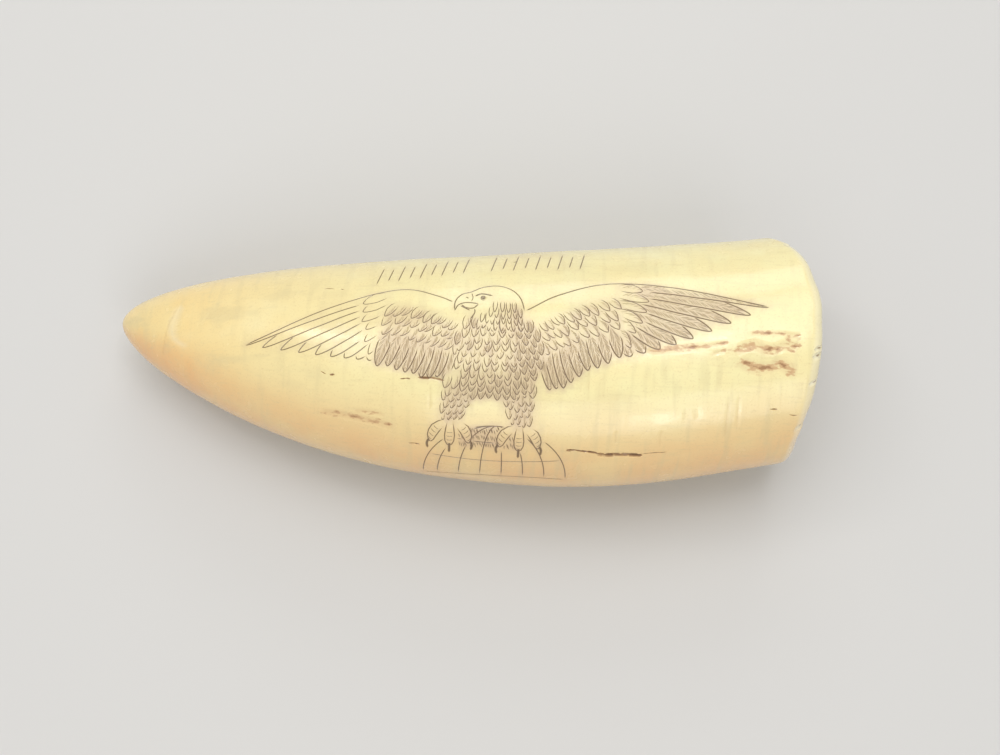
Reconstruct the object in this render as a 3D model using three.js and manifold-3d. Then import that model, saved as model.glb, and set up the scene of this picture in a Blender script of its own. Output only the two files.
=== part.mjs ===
// A whale tooth of polished ivory, lying on its flank, hollow at the root.
// A spread eagle on a dome is cut into the side that faces up, with two rows of strokes above it.
// Millimetres, +Z up. +X runs from the tip towards the root, and the tooth bows towards -Y.
// The origin is on the surface that the tooth lies on, under the middle of its outline.
import * as THREE from "three";
import { ParametricGeometry } from "three/addons/geometries/ParametricGeometry.js";
import { mergeVertices } from "three/addons/utils/BufferGeometryUtils.js";
import Module from "manifold-3d";

// Form of the tooth
const LENGTH = 136; // tip to the mean line of the root rim
const HALF_BREADTH = 23.3; // half the breadth at the root, seen from above
const TAPER_LENGTH = 90; // stretch over which the tip swells to that breadth
const TIP_POWER = 0.57; // how blunt the tip is: 0.5 is round, 1 is a cone
const SWELL = 0.039; // how much broader still the tooth is where it swells, before the root
const SWELL_START = 70; // distances from the tip
const SWELL_END = 136;
const TIP_DEPTH = 0.9; // depth over breadth of the section, at the tip
const ROOT_DEPTH = 0.78; // the same, at the root
const BOW = 7.6; // how far the middle of the tooth bows out of the chord
const TIP_HEIGHT = 9.8; // height of the tip above the surface
const DIP_POWER = 2.3; // how soon the axis drops towards the tip
const AXIS_HEIGHT = 18.2; // height of the axis of the thick part: the skin below the surface is worn flat
const ROOT_RISE = 0.5; // how far the axis lifts again at the root

// Root rim, a wavy line with a rounded edge outside and inside
const RIM_NEAR = 2.8; // how much further the near side reaches than the mean
const RIM_CROWN = 1.5; // how much further the crown reaches than the mean
const RIM_WAVE = 2; // height of the two waves around the rim
const RIM_TWIST = 1; // the same for two waves turned by an eighth of a turn
const RIM_EDGE = 2.5; // rounding outside
const RIM_WALL = 5; // thickness of the ivory
const MOUTH_EDGE = 1.2; // rounding inside

// Pulp hollow inside the root
const HOLLOW_DEPTH = 46;
const HOLLOW_POWER = 1.25; // 1 is a straight cone, and more is fuller

// Facets of the tooth
const SECTORS = 40;
const BODY_RINGS = 28;
const EDGE_RINGS = 3;
const HOLLOW_RINGS = 7;
const CROWDING = 1.6; // how much closer the rings stand towards the tip

// Graver's cut, a tapered V
const CUT_WIDTH = 0.7;
const CUT_DEPTH = 0.35;
const CUT_CLEARANCE = 0.15; // how far the cutter stands out of the ivory
const CUT_SIDES = 3;

// Place of the picture. Its points are [along, across] from the middle of the breast: along is +X, and
// across is square to it, as seen by someone who looks down with the head tilted back.
const SIGHT_TILT = THREE.MathUtils.degToRad(15);
const BREAST_DISTANCE = 78.75; // from the tip
const BREAST_ACROSS = 5.5; // from the axis of the tooth

// Wings, each between a front and a rear line that run from the shoulder to the wing's tip
const WINGS = [
  {
    front: [[-6.6, 5.2], [-13, 7.7], [-21, 8.5], [-34, 4.2], [-50, -3.7]],
    rear: [[-8.4, -9], [-15, -7.6], [-23, -5.6], [-34, -4.9], [-50, -3.7]],
    bow: 0.05,
  },
  {
    front: [[4.6, 6], [10.5, 9.2], [20, 11.8], [33, 11.6], [50.2, 8.9]],
    rear: [[7, -9.8], [13, -7], [21.5, -2.9], [34, 1.4], [50.2, 8.9]],
    bow: -0.05, // side bend of a quill over its length
  },
];
const QUILLS = 10; // long feathers of a wing
const QUILL_ROOT = 0.5; // share of the wing's breadth where the quills start
const QUILL_STATIONS = [0.06, 0.4, 0.75]; // shares of a quill's length, before its round end
const QUILL_TIP = 0.35; // length of the round end over the breadth of the quill
const COVERTS = 9; // short feathers over the roots of the quills
const COVERT_ROOT = 0.38; // share of the wing's breadth where they start
const COVERT_LENGTH = 1.5;
const WING_REACH = 0.8; // share of the wing's length that the feathers' roots take up
const HAND_NARROWING = 0.5; // how much nearer to the front edge the roots lie at the wing's tip
const FRONT_STEPS = 18;
const ROUND_STEPS = 3; // of a feather's end

// Breast, with rows of scales
const BREAST_MIDDLE = -0.8;
const BREAST_HALF = 7.6;
const BREAST_TOP = 5;
const BREAST_BOTTOM = -11.4;
const NECK_SWELL = 0.25; // share of a half turn of the sine that shapes the flanks
const TAIL_SWELL = 0.9;
const FLANK_STEPS = 5;
const SCALE_ROWS = 4;
const SCALE_FIRST_ROW = 0.16; // share of the breast's length
const SCALE_ROW_STEP = 0.22;
const SCALES = 4; // in every other row, and one fewer in the rows between
const SCALE_HALF = 1.4;
const SCALE_LENGTH = 2.1;
const SCALE_STEPS = 4;

// Head, turned to the tip of the tooth
const CROWN = [[-6.8, 8.7], [-4.2, 10.1], [-0.8, 10.2], [2.2, 8.6], [4.4, 4.9]];
const BEAK = [[-6.8, 8.7], [-9, 7.6], [-9.5, 4.9]];
const MOUTH = [[-9.5, 4.9], [-8.4, 6.2], [-5, 6.5]];
const JAW = [[-8.4, 5.5], [-6.8, 5], [-4.9, 6.2]];
const BROW = [[-5.5, 8.3], [-4, 8.5], [-2.3, 7.8]];
const HEAD_STATION = 1; // spacing of the stations along a line of the head

// Legs, from the hip to the ankle, each with three toes
const LEGS = [
  { hip: [-6, -8], ankle: [-9, -16.2] },
  { hip: [4, -8], ankle: [5, -16.6] },
];
const KNEE_SHARE = 0.65; // of the way down the leg
const THIGH_HALF = 2.6;
const KNEE_HALF = 1.4;
const ANKLE_HALF = 0.75;
const LEG_STEPS = 5;
const TOES = [-1, 0, 1];
const TOE_SPREAD = 3.5;
const TOE_ARCH = 0.8;
const TOE_DROP = 3.2;
const KNUCKLE_SHARE = 0.6; // of the toe's spread
const TOE_STEPS = 4;

// Dome under the feet, with curved lines from its top to its base
const DOME_MIDDLE = -0.4;
const DOME_HALF = 13.8;
const DOME_BASE = -26.3;
const DOME_HEIGHT = 9.8;
const DOME_STEPS = 14;
const BASE_STEPS = 8;
const MERIDIANS = [-0.6, -0.2, 0.2, 0.6]; // shares of the half breadth where they meet the base
const MERIDIAN_RISE = 0.4 * Math.PI;
const MERIDIAN_STEPS = 4;

// Two rows of slanted strokes
const STROKE_ROWS = [
  { start: [-24.6, 11.2], end: [-8, 14.3] },
  { start: [-2.6, 14.9], end: [14.6, 16.2] },
];
const STROKES = 7; // in a row
const STROKE_LENGTHS = [3, 4];
const STROKE_SLANT = 0.3; // sideways over up

const IVORY = { color: 0xf0dfa8, roughness: 0.35, metalness: 0 };

const wasm = await Module();
wasm.setup();

const { lerp, clamp } = THREE.MathUtils;

// Half breadth, half depth and middle of the section at a distance from the tip.
function section(distance) {
  const share = distance / LENGTH;
  const swelling = clamp(distance / TAPER_LENGTH, 0, 1);
  const half = HALF_BREADTH * Math.sin((Math.PI / 2) * swelling) ** TIP_POWER;
  const swell = clamp((distance - SWELL_START) / (SWELL_END - SWELL_START), 0, 1);
  return {
    halfBreadth: half * (1 + SWELL * Math.sin(Math.PI * swell) ** 2),
    halfDepth: half * lerp(TIP_DEPTH, ROOT_DEPTH, Math.sqrt(share)),
    y: -BOW * (1 - (2 * share - 1) ** 2),
    z: lerp(AXIS_HEIGHT + ROOT_RISE * share ** 4, TIP_HEIGHT, (1 - swelling) ** DIP_POWER),
  };
}

// Point of a section, drawn in from the skin by an inset and narrowed by a share.
function sectionPoint(distance, angle, inset = 0, narrowing = 1) {
  const { halfBreadth, halfDepth, y, z } = section(distance);
  return new THREE.Vector3(
    distance - LENGTH / 2,
    y + (halfBreadth - inset) * narrowing * Math.cos(angle),
    z + (halfDepth - inset) * narrowing * Math.sin(angle),
  );
}

// Distance of the root rim from the tip. Angle 0 is the far side, and a quarter turn is the crown.
function rimDistance(angle) {
  const lean = RIM_CROWN * Math.sin(angle) - RIM_NEAR * Math.cos(angle);
  const waves = RIM_TWIST * Math.sin(2 * angle) - RIM_WAVE * Math.cos(2 * angle);
  return LENGTH + lean + waves;
}

// Rings of the skin, from the tip over the rim to the blind end of the hollow.
function skinRings() {
  const rings = [];
  for (let i = 0; i < BODY_RINGS; i++) {
    const share = (i / BODY_RINGS) ** CROWDING;
    rings.push((angle) => sectionPoint(share * (rimDistance(angle) - RIM_EDGE), angle));
  }
  for (let i = 0; i <= EDGE_RINGS; i++) {
    const turn = (Math.PI / 2) * (i / EDGE_RINGS);
    const back = RIM_EDGE * (1 - Math.sin(turn));
    const inset = RIM_EDGE * (1 - Math.cos(turn));
    rings.push((angle) => sectionPoint(rimDistance(angle) - back, angle, inset));
  }
  for (let i = 0; i <= EDGE_RINGS; i++) {
    const turn = (Math.PI / 2) * (i / EDGE_RINGS);
    const back = MOUTH_EDGE * (1 - Math.cos(turn));
    const inset = RIM_WALL - MOUTH_EDGE * (1 - Math.sin(turn));
    rings.push((angle) => sectionPoint(rimDistance(angle) - back, angle, inset));
  }
  for (let i = 1; i <= HOLLOW_RINGS; i++) {
    const share = i / HOLLOW_RINGS;
    const narrowing = 1 - share ** HOLLOW_POWER;
    rings.push((angle) => {
      const distance = lerp(rimDistance(angle) - MOUTH_EDGE, LENGTH - HOLLOW_DEPTH, share);
      return sectionPoint(distance, angle, RIM_WALL, narrowing);
    });
  }
  return rings;
}

// Closed solid from a surface whose seam and ends meet themselves.
function solidOf(geometry) {
  geometry.deleteAttribute("normal");
  geometry.deleteAttribute("uv");
  const merged = mergeVertices(geometry);
  const vertProperties = merged.attributes.position.array;
  const triVerts = new Uint32Array(merged.index.array);
  return new wasm.Manifold(new wasm.Mesh({ numProp: 3, vertProperties, triVerts }));
}

function geometryOf(solid) {
  const { vertProperties, triVerts } = solid.getMesh();
  const geometry = new THREE.BufferGeometry();
  geometry.setAttribute("position", new THREE.BufferAttribute(vertProperties, 3));
  geometry.setIndex(new THREE.BufferAttribute(triVerts, 1));
  return geometry;
}

function toothBlank() {
  const rings = skinRings();
  const last = rings.length - 1;
  const skin = new ParametricGeometry(
    (around, along, target) => {
      target.copy(rings[Math.round(along * last)](around * 2 * Math.PI));
    },
    SECTORS,
    last,
  );
  return solidOf(skin);
}

// Everything below the surface that the tooth lies on.
function belowRest() {
  const slab = new THREE.BoxGeometry(2 * LENGTH, 4 * HALF_BREADTH, HALF_BREADTH);
  return solidOf(slab.translate(0, 0, -HALF_BREADTH / 2));
}

// Distance from the tip and angle on the skin of a point of the picture.
function placeOnSkin(point) {
  const distance = BREAST_DISTANCE + point.x;
  const { halfBreadth, halfDepth, y, z } = section(distance);
  const flat = halfBreadth * Math.cos(SIGHT_TILT);
  const upright = halfDepth * Math.sin(SIGHT_TILT);
  const middle = (y + BOW) * Math.cos(SIGHT_TILT) + (z - AXIS_HEIGHT) * Math.sin(SIGHT_TILT);
  const across = (BREAST_ACROSS + point.y - middle) / Math.hypot(flat, upright);
  return { distance, angle: Math.atan2(upright, flat) + Math.acos(across) };
}

// Cutter for one stroke of the graver: a keel in the ivory and two lips above it, drawn out to points.
function graverCut(stroke) {
  const last = stroke.length - 1;
  const places = stroke.map(placeOnSkin);
  const skin = places.map(({ distance, angle }) => sectionPoint(distance, angle));
  const rails = skin.map((point, i) => {
    const { distance, angle } = places[i];
    const { halfBreadth, halfDepth } = section(distance);
    const out = new THREE.Vector3(0, Math.cos(angle) / halfBreadth, Math.sin(angle) / halfDepth).normalize();
    const run = new THREE.Vector3().subVectors(skin[Math.min(i + 1, last)], skin[Math.max(i - 1, 0)]);
    const spread = (CUT_WIDTH / 2) * (1 + CUT_CLEARANCE / CUT_DEPTH);
    const side = new THREE.Vector3().crossVectors(out, run).setLength(spread);
    const above = point.clone().addScaledVector(out, CUT_CLEARANCE);
    const keel = point.clone().addScaledVector(out, -CUT_DEPTH);
    const isEnd = i === 0 || i === last;
    return isEnd ? [above, above, above] : [keel, above.clone().add(side), above.clone().sub(side)];
  });
  const wedge = new ParametricGeometry(
    (around, along, target) => {
      target.copy(rails[Math.round(along * last)][Math.round(around * CUT_SIDES) % CUT_SIDES]);
    },
    CUT_SIDES,
    last,
  );
  return solidOf(wedge);
}

function curveThrough(points) {
  return new THREE.SplineCurve(points.map(([along, across]) => new THREE.Vector2(along, across)));
}

// Even shares from one number to another, with both ends.
function stepsBetween(from, to, steps) {
  return Array.from({ length: steps + 1 }, (_, i) => lerp(from, to, i / steps));
}

// Rise and fall of an arch, 0 at both ends and 1 in the middle.
function hump(share) {
  return 4 * share * (1 - share);
}

// Half round of a feather's end, from one corner to the other.
function roundEnd(from, to, outward, steps) {
  return stepsBetween(0, 1, steps).map((share) => {
    return from.clone().lerp(to, share).addScaledVector(outward, hump(share));
  });
}

// Front edge, long quills with round ends, and a row of coverts over their roots.
function wingStrokes({ front, rear, bow }) {
  const frontEdge = curveThrough(front);
  const rearEdge = curveThrough(rear);
  const laid = (share, t) => {
    const depth = share * (1 - HAND_NARROWING * t);
    return frontEdge.getPoint(WING_REACH * t).lerp(rearEdge.getPoint(WING_REACH * t), depth);
  };
  const strokes = [frontEdge.getPoints(FRONT_STEPS)];
  for (let i = 0; i < QUILLS; i++) {
    const root = laid(QUILL_ROOT, i / QUILLS);
    const corner = rearEdge.getPoint(i / QUILLS);
    const next = rearEdge.getPoint((i + 1) / QUILLS);
    const run = corner.clone().sub(root);
    const side = new THREE.Vector2(-run.y, run.x).multiplyScalar(bow);
    const edge = QUILL_STATIONS.map((share) => {
      return root.clone().addScaledVector(run, share).addScaledVector(side, hump(share));
    });
    const outward = run.clone().setLength(QUILL_TIP * corner.distanceTo(next));
    strokes.push([...edge, ...roundEnd(corner, next, outward, ROUND_STEPS)]);
  }
  for (let i = 0; i < COVERTS; i++) {
    const from = laid(COVERT_ROOT, i / COVERTS);
    const to = laid(COVERT_ROOT, (i + 1) / COVERTS);
    const outward = laid(QUILL_ROOT, (i + 0.5) / COVERTS).sub(from).setLength(COVERT_LENGTH);
    strokes.push(roundEnd(from, to, outward, ROUND_STEPS));
  }
  return strokes;
}

// Flanks from the neck to the tail, and rows of scales between them, set off by half a scale.
function breastStrokes() {
  const flank = (side, share) => {
    const half = BREAST_HALF * Math.sin(Math.PI * lerp(NECK_SWELL, TAIL_SWELL, share));
    return new THREE.Vector2(BREAST_MIDDLE + side * half, lerp(BREAST_TOP, BREAST_BOTTOM, share));
  };
  const shares = stepsBetween(0, 1, FLANK_STEPS);
  const strokes = [-1, 1].map((side) => shares.map((share) => flank(side, share)));
  const half = new THREE.Vector2(SCALE_HALF, 0);
  const outward = new THREE.Vector2(0, -SCALE_LENGTH);
  for (let row = 0; row < SCALE_ROWS; row++) {
    const share = SCALE_FIRST_ROW + row * SCALE_ROW_STEP;
    const count = SCALES - (row % 2);
    for (let i = 0; i < count; i++) {
      const spot = flank(-1, share).lerp(flank(1, share), (i + 0.5) / count);
      strokes.push(roundEnd(spot.clone().sub(half), spot.clone().add(half), outward, SCALE_STEPS));
    }
  }
  return strokes;
}

function headStrokes() {
  return [CROWN, BEAK, MOUTH, JAW, BROW].map((points) => {
    const line = curveThrough(points);
    return line.getPoints(Math.ceil(line.getLength() / HEAD_STATION));
  });
}

// Two sides of the leg, and toes that arch out from the ankle.
function legStrokes({ hip, ankle }) {
  const knee = [lerp(hip[0], ankle[0], KNEE_SHARE), lerp(hip[1], ankle[1], KNEE_SHARE)];
  const shift = ([along, across], by) => [along + by, across];
  const strokes = [-1, 1].map((side) => {
    const outline = [
      shift(hip, side * THIGH_HALF),
      shift(knee, side * KNEE_HALF),
      shift(ankle, side * ANKLE_HALF),
    ];
    return curveThrough(outline).getPoints(LEG_STEPS);
  });
  for (const turn of TOES) {
    const knuckle = [ankle[0] + KNUCKLE_SHARE * turn * TOE_SPREAD, ankle[1] - TOE_ARCH];
    const claw = [ankle[0] + turn * TOE_SPREAD, ankle[1] - TOE_DROP];
    strokes.push(curveThrough([ankle, knuckle, claw]).getPoints(TOE_STEPS));
  }
  return strokes;
}

// Outline, base and curved lines of the dome.
function domeStrokes() {
  const onDome = (spread, turn) => {
    const along = DOME_MIDDLE + spread * DOME_HALF * Math.cos(turn);
    return new THREE.Vector2(along, DOME_BASE + DOME_HEIGHT * Math.sin(turn));
  };
  const outline = stepsBetween(0, Math.PI, DOME_STEPS).map((turn) => onDome(1, turn));
  const base = stepsBetween(-1, 1, BASE_STEPS).map((spread) => onDome(spread, 0));
  const rise = stepsBetween(0, MERIDIAN_RISE, MERIDIAN_STEPS);
  return [outline, base, ...MERIDIANS.map((spread) => rise.map((turn) => onDome(spread, turn)))];
}

// Slanted strokes, long and short in turn.
function rowStrokes({ start, end }) {
  const strokes = [];
  for (let i = 0; i < STROKES; i++) {
    const middle = new THREE.Vector2(...start).lerp(new THREE.Vector2(...end), i / (STROKES - 1));
    const half = STROKE_LENGTHS[i % STROKE_LENGTHS.length] / 2;
    const reach = new THREE.Vector2(STROKE_SLANT, 1).setLength(half);
    strokes.push([middle.clone().sub(reach), middle, middle.clone().add(reach)]);
  }
  return strokes;
}

const picture = [
  ...WINGS.flatMap(wingStrokes),
  ...breastStrokes(),
  ...headStrokes(),
  ...LEGS.flatMap(legStrokes),
  ...domeStrokes(),
  ...STROKE_ROWS.flatMap(rowStrokes),
];
const blank = toothBlank().subtract(belowRest());
const carved = picture.reduce((solid, stroke) => solid.subtract(graverCut(stroke)), blank);

const geometry = geometryOf(carved);
geometry.computeBoundingBox();
const middle = geometry.boundingBox.getCenter(new THREE.Vector3());

const tooth = new THREE.Mesh(geometry, new THREE.MeshStandardMaterial(IVORY));
tooth.name = "whale_tooth";
tooth.position.set(-middle.x, -middle.y, 0);

const part = new THREE.Group();
part.add(tooth);

export default part;
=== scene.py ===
import itertools
import math
import random

import bmesh
import bpy
import numpy as np
from mathutils import Matrix, Vector, noise
from mathutils.geometry import delaunay_2d_cdt


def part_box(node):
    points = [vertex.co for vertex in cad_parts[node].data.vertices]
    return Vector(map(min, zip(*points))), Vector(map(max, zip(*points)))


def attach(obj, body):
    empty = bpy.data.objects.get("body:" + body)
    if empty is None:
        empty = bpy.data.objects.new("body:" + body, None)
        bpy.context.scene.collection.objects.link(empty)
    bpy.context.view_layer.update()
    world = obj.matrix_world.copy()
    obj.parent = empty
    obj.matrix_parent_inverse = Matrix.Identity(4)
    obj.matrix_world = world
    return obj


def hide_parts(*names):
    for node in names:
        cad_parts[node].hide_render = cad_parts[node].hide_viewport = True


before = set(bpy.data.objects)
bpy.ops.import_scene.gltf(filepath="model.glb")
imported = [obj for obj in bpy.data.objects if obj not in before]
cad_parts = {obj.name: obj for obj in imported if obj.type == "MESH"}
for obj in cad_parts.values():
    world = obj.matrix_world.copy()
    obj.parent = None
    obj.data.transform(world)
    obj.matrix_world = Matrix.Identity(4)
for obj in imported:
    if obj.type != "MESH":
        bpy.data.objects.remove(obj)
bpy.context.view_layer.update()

# The tooth is a sperm whale's, of solid ivory, scraped and polished. It bows to a blunt tip, and its root
# is sawn off in a wavy rim round the hollow where the pulp was. Its form is worked out in millimetres,
# with distances from the tip and angles round the axis from the far flank over the crown.
LENGTH = 136
HALF_BREADTH = 23.3
TAPER_LENGTH = 90
TIP_POWER = 0.57
SWELL = 0.039
SWELL_START = 70
SWELL_END = 136
TIP_DEPTH = 0.9
ROOT_DEPTH = 0.78
BOW = 7.6
TIP_HEIGHT = 9.8
DIP_POWER = 2.3
AXIS_HEIGHT = 18.2
ROOT_RISE = 0.5
RIM_NEAR = 2.8
RIM_CROWN = 1.5
RIM_WAVE = 2
RIM_TWIST = 1
RIM_EDGE = 2.5
RIM_WALL = 5
MOUTH_EDGE = 1.2
HOLLOW_DEPTH = 46
HOLLOW_POWER = 1.25


def mix(start, end, share):
    return start + (end - start) * share


def section(distance):
    share = distance / LENGTH
    swelling = min(max(distance / TAPER_LENGTH, 0), 1)
    half = HALF_BREADTH * math.sin(math.pi / 2 * swelling) ** TIP_POWER
    swell = min(max((distance - SWELL_START) / (SWELL_END - SWELL_START), 0), 1)
    half_breadth = half * (1 + SWELL * math.sin(math.pi * swell) ** 2)
    half_depth = half * mix(TIP_DEPTH, ROOT_DEPTH, math.sqrt(share))
    middle_y = -BOW * (1 - (2 * share - 1) ** 2)
    middle_z = mix(AXIS_HEIGHT + ROOT_RISE * share**4, TIP_HEIGHT, (1 - swelling) ** DIP_POWER)
    return half_breadth, half_depth, middle_y, middle_z


def section_point(distance, angle, inset=0, narrowing=1):
    half_breadth, half_depth, middle_y, middle_z = section(distance)
    return Vector((
        distance - LENGTH / 2,
        middle_y + (half_breadth - inset) * narrowing * math.cos(angle),
        middle_z + (half_depth - inset) * narrowing * math.sin(angle),
    ))


def rim_distance(angle):
    lean = RIM_CROWN * math.sin(angle) - RIM_NEAR * math.cos(angle)
    waves = RIM_TWIST * math.sin(2 * angle) - RIM_WAVE * math.cos(2 * angle)
    return LENGTH + lean + waves


def skin_point(walk, angle):
    # walk is 0 to 1 along the body, 1 to 2 round the rim, 2 to 3 over its flat and into the mouth, and
    # 3 to 4 down the hollow
    rim = rim_distance(angle)
    share = walk % 1
    turn = math.pi / 2 * share
    if walk < 1:
        return section_point(walk * (rim - RIM_EDGE), angle)
    if walk < 2:
        inset = RIM_EDGE * (1 - math.cos(turn))
        return section_point(rim - RIM_EDGE * (1 - math.sin(turn)), angle, inset)
    if walk < 2.5:
        return section_point(rim, angle, mix(RIM_EDGE, RIM_WALL - MOUTH_EDGE, 2 * share))
    if walk < 3:
        turn = math.pi / 2 * (2 * share - 1)
        inset = RIM_WALL - MOUTH_EDGE * (1 - math.sin(turn))
        return section_point(rim - MOUTH_EDGE * (1 - math.cos(turn)), angle, inset)
    distance = mix(rim - MOUTH_EDGE, LENGTH - HOLLOW_DEPTH, share)
    return section_point(distance, angle, RIM_WALL, 1 - share**HOLLOW_POWER)


# The skin of the tooth starts as a flat sheet, one way from the tip over the rim to the end of the hollow,
# and the other way once round, with its seam along the underside. Layers hold its marks: ink, stains,
# cracks with some painted shade, fresh breaks with some painted light, and film, how deep each spot is
# sunk, and where on the tooth it lies.
SECTORS = 160
BODY_ROWS = 130
EDGE_ROWS = 12
HOLLOW_ROWS = 36
CROWDING = 1.6
GIRTH = 20
CROWN = math.pi / 2
BODY_LENGTH = LENGTH - RIM_EDGE
RIM_ARC = RIM_EDGE * math.pi / 2
MOUTH_ARC = 4
REACHES = (
    0,
    BODY_LENGTH,
    BODY_LENGTH + RIM_ARC,
    BODY_LENGTH + RIM_ARC + MOUTH_ARC,
    BODY_LENGTH + RIM_ARC + HOLLOW_DEPTH,
)

walks = [(row / BODY_ROWS) ** CROWDING for row in range(BODY_ROWS)]
walks += [1 + row / EDGE_ROWS for row in range(2 * EDGE_ROWS)]
walks += [3 + row / HOLLOW_ROWS for row in range(HOLLOW_ROWS + 1)]
last_row = len(walks) - 1

MARKS = "ink", "stain", "crack", "fresh", "film", "sink", "near", "walk"
skin = bmesh.new()
marks = {name: skin.verts.layers.float.new(name) for name in MARKS}
bmesh.ops.create_grid(skin, x_segments=last_row, y_segments=SECTORS, size=0.5)
for vert in skin.verts:
    row = round((vert.co.x + 0.5) * last_row)
    vert.co.x = np.interp(walks[row], range(len(REACHES)), REACHES)
    vert.co.y *= 2 * math.pi * GIRTH

# The picture is a spread eagle on a dome, cut with a graver and rubbed with ink. Its points are in
# millimetres from the middle of the breast, along the tooth and across it, as someone sees them who looks
# down with the head back. What lies in front is cut first, and keeps later cuts off it.
SIGHT_TILT = math.radians(15)
BREAST_DISTANCE = 78.75
BREAST_ACROSS = 5.5
OUTLINE = 0.28
CUT_TAPER = 0.4
CUT_TAPER_SHARE = 0.3
CUT_SLOPE = 0.35
hand = random.Random(11)
strokes = []
covers = []


def flat_place(point):
    distance = BREAST_DISTANCE + point[0]
    half_breadth, half_depth, middle_y, middle_z = section(distance)
    flat = half_breadth * math.cos(SIGHT_TILT)
    upright = half_depth * math.sin(SIGHT_TILT)
    middle = (middle_y + BOW) * math.cos(SIGHT_TILT) + (middle_z - AXIS_HEIGHT) * math.sin(SIGHT_TILT)
    across = (BREAST_ACROSS + point[1] - middle) / math.hypot(flat, upright)
    angle = math.atan2(upright, flat) + math.acos(min(max(across, -1), 1))
    body = rim_distance(angle) - RIM_EDGE
    x = distance / body * BODY_LENGTH if distance < body else BODY_LENGTH + distance - body
    return Vector((x, (angle - CROWN) * GIRTH))


def sink_cut(keel, width, mark="ink", strength=1, slope=CUT_SLOPE):
    runs = [0]
    for before, after in zip(keel, keel[1:]):
        runs.append(runs[-1] + (after - before).length)
    taper = min(CUT_TAPER, CUT_TAPER_SHARE * runs[-1])
    halves = [width / 2 * min(1, run / taper, (runs[-1] - run) / taper) for run in runs]
    strokes.append((keel, halves, mark, strength, slope * width))


def covered(point):
    for low, high, outline in covers:
        if low[0] < point.x < high[0] and low[1] < point.y < high[1]:
            inside = False
            for a, b in zip(outline, outline[1:] + outline[:1]):
                if (a.y > point.y) != (b.y > point.y):
                    inside ^= point.x < mix(a.x, b.x, (point.y - a.y) / (b.y - a.y))
            if inside:
                return True
    return False


def cover(outline):
    covers.append((np.min(outline, axis=0), np.max(outline, axis=0), outline))


def engrave(points, width, **cut):
    for hidden, stretch in itertools.groupby(points, covered):
        keel = [flat_place(point) for point in stretch]
        if not hidden and len(keel) > 2:
            sink_cut(keel, width, **cut)


def on_curve(points, share):
    # a smooth curve through the points, which runs on past its ends
    ends = [2 * points[0] - points[1], *points, 2 * points[-1] - points[-2]]
    spans = len(points) - 1
    span = min(int(share * spans), spans - 1)
    t = share * spans - span
    a, b, c, d = ends[span:span + 4]
    return 0.5 * (2 * b + (c - a) * t + (2 * a - 5 * b + 4 * c - d) * t**2 + (3 * b - a - 3 * c + d) * t**3)


def vectors(points):
    return [Vector(point) for point in points]


def shares(steps):
    return [step / steps for step in range(steps + 1)]


def curve(points, width, steps, **cut):
    points = vectors(points)
    engrave([on_curve(points, share) for share in shares(steps)], width, **cut)


# Two rows of slanted strokes stand over the wings, cut into the ivory like the picture's outlines and
# inked with them. They are longer and shorter in turn.
STROKE_ROWS = (((-24.6, 11.2), (-8, 14.3)), ((-2.6, 14.9), (14.6, 16.2)))
STROKES_IN_ROW = 9
STROKE_SLANT = 0.3
STROKE_HALVES = 2, 1.5
for start, end in STROKE_ROWS:
    for i in range(STROKES_IN_ROW):
        middle = Vector(start).lerp(Vector(end), i / (STROKES_IN_ROW - 1))
        reach = Vector((STROKE_SLANT, 1)).normalized() * STROKE_HALVES[i % 2]
        curve([middle - reach, middle, middle + reach], OUTLINE, steps=6)

# The eagle's head is turned to the tip of the tooth, with a hooked beak and a heavy brow. It is cut in
# outline and left bare, with finer lines for the eyelid and the cere, and broad ones for pupil and brow.
FINE = 0.21
HEAD_TOP = [(-6.5, 8.9), (-4.4, 9.9), (-1.4, 10.3), (1.3, 9.5), (3, 7.8), (3.8, 5.4)]
NECK_FRONT = [(-5.4, 3.2), (-5, 6.6)]
BEAK_TOP = [(-6.5, 8.9), (-8.3, 8.3), (-9.5, 6.9), (-9.6, 4.9)]
BEAK_EDGE = [(-9.6, 4.9), (-8.8, 6.2), (-7.2, 6.7), (-5, 6.6)]
JAW = [(-8.4, 6.3), (-7.4, 5.7), (-6, 5.7), (-5, 6.6)]
THROAT = [(-5.8, 5.7), (-5.7, 4.8), (-6.5, 3.4)]
CERE = [(-6.6, 8.8), (-6.2, 7.8), (-6.5, 6.9)]
NOSTRIL = [(-7.6, 7.8), (-7.3, 7.7), (-7, 7.5)]
BROW = [(-5.9, 8), (-4.6, 8.6), (-2.3, 8.3)]
BROW_WIDTH = 0.4
EYE = Vector((-4.2, 7.75))
EYE_RADIUS = 0.5
EYE_FLATNESS = 0.8
EYE_TURNS = 0.2, 1.9 * math.pi
PUPIL = ((-0.42, 0.05), (-0.14, 0.05), (0.14, 0.05), (0.42, 0.05))
PUPIL_WIDTH = 0.75
for line in (BEAK_TOP[:0:-1] + HEAD_TOP, BEAK_EDGE, JAW, THROAT, NOSTRIL):
    curve(line, OUTLINE, steps=24)
curve(CERE, FINE, steps=5)
turns = [mix(*EYE_TURNS, share) for share in shares(10)]
lid = [Vector((math.cos(turn), EYE_FLATNESS * math.sin(turn))) for turn in turns]
engrave([EYE + EYE_RADIUS * spot for spot in lid], FINE)
engrave([EYE + Vector(spot) for spot in PUPIL], PUPIL_WIDTH)
curve(BROW, BROW_WIDTH, steps=8)

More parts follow.
